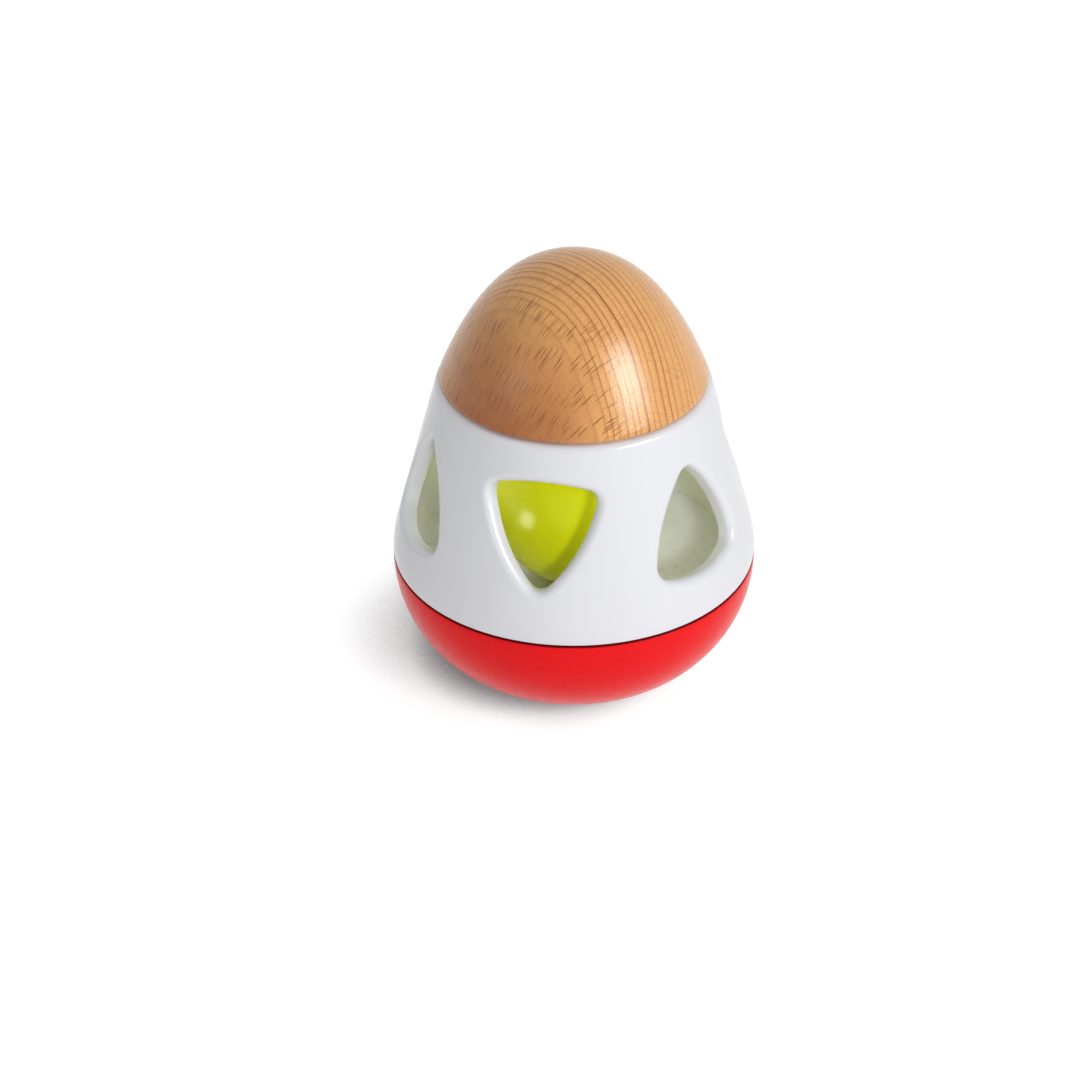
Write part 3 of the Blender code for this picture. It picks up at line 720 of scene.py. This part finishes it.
class RATTLE_OT_window_shell(bpy.types.Operator):
    """Mould the white shell with its flared windows"""

    bl_idname = "rattle.window_shell"
    bl_label = "Window Shell"

    def execute(self, context):
        sizes = context.scene.rattle_sizes
        wall = sizes.shell_wall
        centre, equator = sizes.round_centre(), sizes.equator_height()
        # The panels with the windows stop a little short of the bowl's round and of the lip
        low = equator + sizes.base_round * math.sin(sizes.cone_angle) + wall / 10
        high = sizes.shell_top() - sizes.lip_round - wall / 3
        shape = bmesh.new()
        inward = wall * math.cos(sizes.cone_angle)
        fall = wall * math.sin(sizes.cone_angle)
        socket = sizes.tenon_radius + sizes.clearance
        socket_floor = sizes.shell_top() - sizes.tenon_depth
        lip_height = sizes.shell_top() - sizes.lip_round
        lip_radius = sizes.radius_at(lip_height, sizes.lip_round)
        top = [(sizes.radius_at(high), high)]
        top += arc(lip_radius, lip_height, sizes.lip_round, sizes.cone_angle, math.pi / 2)
        top += [(socket, sizes.shell_top()), (socket, socket_floor), (0, socket_floor)]
        spun(shape, top, EGG_STEPS)
        under_deck = sizes.shell_top() - sizes.deck
        boss = socket + sizes.deck
        ceiling = [
            (0, sizes.ceiling()),
            (boss, sizes.ceiling()),
            (boss, under_deck),
            (sizes.radius_at(under_deck, wall), under_deck),
            (sizes.radius_at(high) - inward, high - fall),
        ]
        spun(shape, ceiling, EGG_STEPS)
        bottom = sizes.seam_height + sizes.seam_gap / 2
        hem_height = bottom + sizes.seam_edge
        skirt = [(sizes.radius_at(low), low)]
        skirt += arc(centre, equator, sizes.base_round, sizes.cone_angle, sizes.angle_at(hem_height))
        skirt += arc(sizes.radius_at(hem_height) - sizes.seam_edge, hem_height, sizes.seam_edge, 0, -math.pi / 2)[1:]
        spigot_radius = sizes.radius_at(sizes.seam_height) - sizes.rim_wall - sizes.clearance
        skirt.append((spigot_radius, bottom))
        skirt += snap_bead(sizes, spigot_radius, sizes.seam_height - sizes.spigot_depth / 2)
        skirt.append((spigot_radius, sizes.spigot_bottom()))
        lining_start = sizes.angle_at(sizes.spigot_bottom(), wall)
        skirt += arc(centre, equator, sizes.base_round - wall, lining_start, sizes.cone_angle)
        skirt.append((sizes.radius_at(low) - inward, low - fall))
        spun(shape, skirt, EGG_STEPS)
        for number in range(WINDOWS):
            window_panel(shape, sizes, number * 2 * math.pi / WINDOWS, 1 if number % 2 else -1, low, high)
        piece = add_object(closed(shape), "moulded_shell")
        carve(piece, screw_cutters(sizes))
        white = context.scene.rattle_finish.white
        finish = moulded_abs("white ABS", white, roughness=0.2, depth=0.975, specular=0.5)
        dress(piece, finish, "egg", "window_shell")
        return {"FINISHED"}


class RATTLE_OT_base_bowl(bpy.types.Operator):
    """Mould the red bowl with its foot, post and rebated rim"""

    bl_idname = "rattle.base_bowl"
    bl_label = "Base Bowl"

    def execute(self, context):
        sizes = context.scene.rattle_sizes
        screw_low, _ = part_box("weight_screw")
        weight_low, weight_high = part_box("base_weight")
        centre, equator = sizes.round_centre(), sizes.equator_height()
        gap = sizes.clearance
        inner_round = sizes.base_round - sizes.base_wall
        floor = equator - inner_round
        pan_bottom = sizes.pan_top() - sizes.pan_rim
        ledge = pan_bottom - gap
        top = sizes.seam_height - sizes.seam_gap / 2
        pilot = SCREW_SHANK + gap
        post_top = weight_high.z - POST_DROP - gap
        seat_top = weight_low.z - gap
        pilot_floor = screw_low.z - 2 * gap
        inside = [(0, pilot_floor), (pilot, pilot_floor), (pilot, post_top), (POST_RADIUS, post_top)]
        inside += [(POST_RADIUS, seat_top), (SEAT_RADIUS, seat_top), (SEAT_RADIUS, floor)]
        inside += arc(centre, equator, inner_round, -math.pi / 2, sizes.angle_at(ledge, sizes.base_wall))
        pan_seat = sizes.radius_at(sizes.spigot_bottom(), sizes.shell_wall)
        rebate = sizes.radius_at(sizes.seam_height) - sizes.rim_wall
        inside.append((pan_seat, ledge))
        inside += reversed(snap_bead(sizes, pan_seat, (sizes.pan_top() + pan_bottom) / 2, gap))
        inside += [(pan_seat, sizes.pan_top()), (rebate, sizes.pan_top())]
        inside += reversed(snap_bead(sizes, rebate, sizes.seam_height - sizes.spigot_depth / 2, gap))
        inside.append((rebate, top))
        rim_height = top - sizes.seam_edge
        rim = arc(sizes.radius_at(rim_height) - sizes.seam_edge, rim_height, sizes.seam_edge, math.pi / 2, 0)
        foot_angle = -math.acos((sizes.foot_radius - centre) / sizes.base_round)
        outside = arc(centre, equator, sizes.base_round, sizes.angle_at(rim_height), foot_angle)
        piece = add_object(turned(inside + rim + outside[1:] + [(0, 0)], EGG_STEPS), "moulded_bowl")
        red = context.scene.rattle_finish.red
        # A painted shade darkens the rim's top by the seam, standing in for the shadow in the gap under the shell
        painted_seam_shadow = (top, sizes.seam_edge)
        finish = moulded_abs("red ABS", red, roughness=0.26, depth=0.93, specular=0.08, rim=painted_seam_shadow)
        dress(piece, finish, "egg", "base_bowl")
        return {"FINISHED"}


class RATTLE_OT_floor_pan(bpy.types.Operator):
    """Mould the dished floor under the ball"""

    bl_idname = "rattle.floor_pan"
    bl_label = "Dished Floor"

    def execute(self, context):
        sizes = context.scene.rattle_sizes
        seat = sizes.radius_at(sizes.spigot_bottom(), sizes.shell_wall)
        rim_radius = seat - sizes.pan_hairline
        dish_radius = seat - sizes.clearance - sizes.pan_lip
        curve = (dish_radius**2 + sizes.dish_depth**2) / (2 * sizes.dish_depth)
        centre = sizes.dish_bottom() + curve
        down = -math.pi / 2
        bottom = sizes.pan_top() - sizes.pan_rim
        profile = arc(0, centre, curve, down, down + math.asin(dish_radius / curve))
        profile.append((rim_radius, sizes.spigot_bottom() - sizes.pan_hairline))
        profile += snap_bead(sizes, rim_radius, (sizes.pan_top() + bottom) / 2)
        profile += [(rim_radius, bottom), (dish_radius - sizes.pan_lip, bottom)]
        under = curve + sizes.pan_wall
        inner_half = math.asin((dish_radius - 2 * sizes.pan_lip) / under)
        profile += arc(0, centre, under, down + inner_half, down)
        piece = add_object(turned(profile, EGG_STEPS), "dished_floor")
        white = context.scene.rattle_finish.white
        finish = moulded_abs("white ABS floor", white, roughness=0.3, depth=0.975, specular=0.5)
        dress(piece, finish, "egg", "floor_pan")
        return {"FINISHED"}


class RATTLE_OT_ball(bpy.types.Operator):
    """Mould the two halves of the loose ball"""

    bl_idname = "rattle.ball"
    bl_label = "Loose Ball"

    def execute(self, context):
        sizes = context.scene.rattle_sizes
        low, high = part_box("ball_front_half")
        middle = (low.z + high.z) / 2
        inner = sizes.ball_radius - sizes.ball_wall
        tongue = inner + sizes.tongue_wall
        gap = sizes.clearance / 2
        lime = context.scene.rattle_finish.lime
        finish = moulded_abs("lime ABS", lime, roughness=0.26, depth=0.94, specular=0.3)
        for name, node, tongued in (
            ("lime_front_half", "ball_front_half", True),
            ("lime_rear_half", "ball_rear_half", False),
        ):
            edge = sizes.ball_edge
            start = math.asin((gap + edge) / sizes.ball_radius)
            profile = arc(0, 0, sizes.ball_radius, math.pi / 2, start)
            profile += arc(sizes.ball_radius * math.cos(start) - edge, gap + edge, edge, 0, -math.pi / 2)[1:]
            if tongued:
                profile += [(tongue, gap), (tongue, -sizes.tongue_depth), (inner, -sizes.tongue_depth)]
                profile += arc(0, 0, inner, 0, math.pi / 2)
            else:
                rebate = sizes.tongue_depth + sizes.clearance
                profile += [(tongue + sizes.clearance, gap), (tongue + sizes.clearance, rebate)]
                profile += arc(0, 0, inner, math.asin(rebate / inner), math.pi / 2)
            shape = turned(profile, BALL_STEPS)
            quarter = math.pi / 2 if tongued else -math.pi / 2
            bmesh.ops.rotate(shape, matrix=Matrix.Rotation(quarter, 3, "X"), verts=shape.verts)
            bmesh.ops.translate(shape, vec=(0, 0, middle), verts=shape.verts)
            dress(add_object(shape, name), finish, "ball", node)
        return {"FINISHED"}


class RATTLE_OT_metalwork(bpy.types.Operator):
    """Finish the bell, the weight and the screws"""

    bl_idname = "rattle.metalwork"
    bl_label = "Bell, Weight and Screws"

    def execute(self, context):
        finish = context.scene.rattle_finish
        brass = plated_metal("stamped brass", finish.brass, roughness=0.25)
        steel = plated_metal("zinc-plated steel", finish.steel, roughness=0.35)
        slots = {part["node"]: part["material_slot"] for part in frame["record"]["subparts"]}
        for name, node in frame["nodes"].items():
            if slots[name] in ("brass", "zinc_steel"):
                node.material_slots[0].material = brass if slots[name] == "brass" else steel
        return {"FINISHED"}


def away_from(azimuth, elevation):
    """Direction from the rattle, by an azimuth right of the front window and an elevation."""
    level = math.cos(elevation)
    return Vector((math.sin(azimuth) * level, -math.cos(azimuth) * level, math.sin(elevation)))


def add_lamp(name, away, distance, width, height, power, shines, lights=True):
    """A rectangular lamp aimed at the rattle's axis, which gloss shows if it shines and matt surfaces if it lights."""
    lamp = bpy.data.lights.new(name, "AREA")
    lamp.shape = "RECTANGLE"
    lamp.size = width
    lamp.size_y = height
    lamp.energy = power
    made = bpy.data.objects.new(name, lamp)
    made.location = Vector((0, 0, LAMP_AIM)) + away * distance
    made.rotation_euler = away.to_track_quat("Z", "Y").to_euler()
    made.visible_camera = False
    made.visible_glossy = shines
    made.visible_diffuse = lights
    bpy.context.scene.collection.objects.link(made)


def seen_directly(tree):
    """One for the camera's rays and those of reflections and glass, and zero for the light's own bounces."""
    path = add_node(tree, "ShaderNodeLightPath")
    mirror = add_node(
        tree,
        "ShaderNodeMath",
        {0: path.outputs["Is Glossy Ray"], 1: path.outputs["Is Transmission Ray"]},
        operation="MAXIMUM",
    ).outputs["Value"]
    return add_node(
        tree, "ShaderNodeMath", {0: path.outputs["Is Camera Ray"], 1: mirror}, operation="MAXIMUM"
    ).outputs["Value"]


def sky_light(tree, towards, reach, hidden, clear, dim, bright):
    """Light on a spot of the floor, by how much of its sky the rattle hides towards one side within a reach."""
    side = add_node(tree, "ShaderNodeCombineXYZ", dict(zip("XYZ", towards))).outputs["Vector"]
    sky = add_node(
        tree, "ShaderNodeAmbientOcclusion", {"Distance": reach, "Normal": side}, samples=SKY_SAMPLES
    ).outputs["AO"]
    return add_node(
        tree,
        "ShaderNodeMapRange",
        {"Value": sky, "From Min": hidden, "From Max": clear, "To Min": dim, "To Max": bright},
    ).outputs["Result"]


class RATTLE_OT_stage(bpy.types.Operator):
    """Set up the floor, the lamps and the camera"""

    bl_idname = "rattle.stage"
    bl_label = "Studio"

    def execute(self, context):
        studio = context.scene.rattle_studio
        self.add_floor()
        self.add_world(context, studio)
        self.add_studio_lamps(studio)
        self.add_chamber_lamps(studio)
        self.add_camera(context, studio)
        context.scene.view_settings.view_transform = "Standard"
        return {"FINISHED"}

    def add_studio_lamps(self, studio):
        # Azimuth and elevation in degrees, width, height, power, and whether the lamp shines and lights
        for name, azimuth, elevation, width, height, power, shines, lights in (
            ("key lamp", 20, 28, 0.1, 0.1, studio.key, False, True),
            ("softbox", 75, 22, 0.4, 0.5, studio.softbox, False, True),
            ("softbox face", 66, 25.5, 0.52, 0.5, studio.sheen, True, False),
            ("fill lamp", -44, 22, 0.25, 0.25, studio.fill, True, True),
            ("back lamp", 195, 42, 0.5, 0.5, studio.back, False, True),
        ):
            away = away_from(math.radians(azimuth), math.radians(elevation))
            add_lamp(name, away, LAMP_DISTANCE, width, height, power, shines, lights)

    def add_chamber_lamps(self, studio):
        # Light from the bright backdrop soaks through the white walls: small lamps behind the posts stand for it
        for number in range(REAR_POSTS):
            post = away_from(math.pi + math.tau / WINDOWS * (number - (REAR_POSTS - 1) / 2), 0)
            power = studio.glow / REAR_POSTS
            add_lamp(f"chamber glow {number + 1}", post, 0.0235, width=0.006, height=0.016, power=power, shines=False)
        # The left window's bright opening, as the glossy ball mirrors it
        post = away_from(math.radians(-37.4), math.radians(-13))
        add_lamp("ball glint", post, 0.024, 0.006, 0.006, studio.glint, shines=True, lights=False)

    def add_camera(self, context, studio):
        camera = bpy.data.cameras.new("camera")
        camera.lens = studio.lens
        camera.sensor_width = SENSOR_WIDTH
        camera.shift_x, camera.shift_y = (shift / FRAME_SIDE for shift in FRAME_SHIFT)
        camera.clip_start = 0.01
        away = away_from(studio.azimuth, studio.elevation)
        made = bpy.data.objects.new("camera", camera)
        made.location = Vector((0, 0, studio.aim_height)) + away * studio.distance
        made.rotation_euler = away.to_track_quat("Z", "Y").to_euler()
        context.scene.collection.objects.link(made)
        context.scene.camera = made

    def add_floor(self):
        shape = bmesh.new()
        bmesh.ops.create_grid(shape, x_segments=1, y_segments=1, size=1.5)
        floor = add_object(shape, "studio_floor")
        floor.location.z = -0.0001
        made, tree, shader = new_material("matt white sweep")
        # The sweep is overexposed white where it is seen, and its own pale colour where light bounces off it
        seen = seen_directly(tree)
        tone = add_node(tree, "ShaderNodeMapRange", {"Value": seen, "To Min": 0.92, "To Max": 0.12}).outputs["Result"]
        # Two shadows lie to the left of the rattle: a wide soft one, and a dark one close to where it stands
        wide = sky_light(tree, (0.7, -0.44, 0.56), reach=0.028, hidden=0.42, clear=0.65, dim=0.25, bright=0.97)
        contact = sky_light(tree, (0.8, -0.6, 0.05), reach=0.01, hidden=0.6, clear=0.86, dim=0.2, bright=1.0)
        lit = add_node(tree, "ShaderNodeMath", {0: wide, 1: contact}, operation="MULTIPLY").outputs["Value"]
        lift = add_node(tree, "ShaderNodeMath", {0: seen, 1: lit}, operation="MULTIPLY").outputs["Value"]
        tree.links.new(tone, shader.inputs["Base Color"])
        shader.inputs["Roughness"].default_value = 0.9
        shader.inputs["Specular IOR Level"].default_value = 0.0
        shader.inputs["Emission Color"].default_value = (1, 1, 1, 1)
        tree.links.new(lift, shader.inputs["Emission Strength"])
        floor.data.materials.append(made)

    def add_world(self, context, studio):
        world = bpy.data.worlds.new("studio")
        context.scene.world = world
        world.use_nodes = True
        tree = world.node_tree
        strength = add_node(
            tree, "ShaderNodeMapRange", {"Value": seen_directly(tree), "To Min": studio.ambient, "To Max": 1.0}
        ).outputs["Result"]
        back = tree.nodes["Background"]
        back.inputs["Color"].default_value = (1, 1, 1, 1)
        tree.links.new(strength, back.inputs["Strength"])


class RATTLE_PT_sidebar(bpy.types.Panel):
    """Lists the rattle's operators and settings"""

    bl_idname = "RATTLE_PT_sidebar"
    bl_label = "Bell Rattle"
    bl_space_type = "VIEW_3D"
    bl_region_type = "UI"
    bl_category = "Rattle"

    def draw(self, context):
        for operator in OPERATORS:
            self.layout.operator(operator.bl_idname)
        for group in (context.scene.rattle_sizes, context.scene.rattle_finish, context.scene.rattle_studio):
            box = self.layout.box()
            for key in group.bl_rna.properties.keys():
                if key not in ("rna_type", "name"):
                    box.prop(group, key)


OPERATORS = (
    RATTLE_OT_wood_dome,
    RATTLE_OT_window_shell,
    RATTLE_OT_base_bowl,
    RATTLE_OT_floor_pan,
    RATTLE_OT_ball,
    RATTLE_OT_metalwork,
    RATTLE_OT_stage,
)
CLASSES = (RattleSizes, RattleFinish, RattleStudio, *OPERATORS, RATTLE_PT_sidebar)


def register():
    for made in CLASSES:
        bpy.utils.register_class(made)
    bpy.types.Scene.rattle_sizes = bpy.props.PointerProperty(type=RattleSizes)
    bpy.types.Scene.rattle_finish = bpy.props.PointerProperty(type=RattleFinish)
    bpy.types.Scene.rattle_studio = bpy.props.PointerProperty(type=RattleStudio)


def unregister():
    del bpy.types.Scene.rattle_studio
    del bpy.types.Scene.rattle_finish
    del bpy.types.Scene.rattle_sizes
    for made in reversed(CLASSES):
        bpy.utils.unregister_class(made)


def main():
    register()
    bpy.ops.rattle.wood_dome()
    bpy.ops.rattle.window_shell()
    bpy.ops.rattle.base_bowl()
    bpy.ops.rattle.floor_pan()
    bpy.ops.rattle.ball()
    bpy.ops.rattle.metalwork()
    bpy.ops.rattle.stage()


if __name__ == "__main__":
    main()
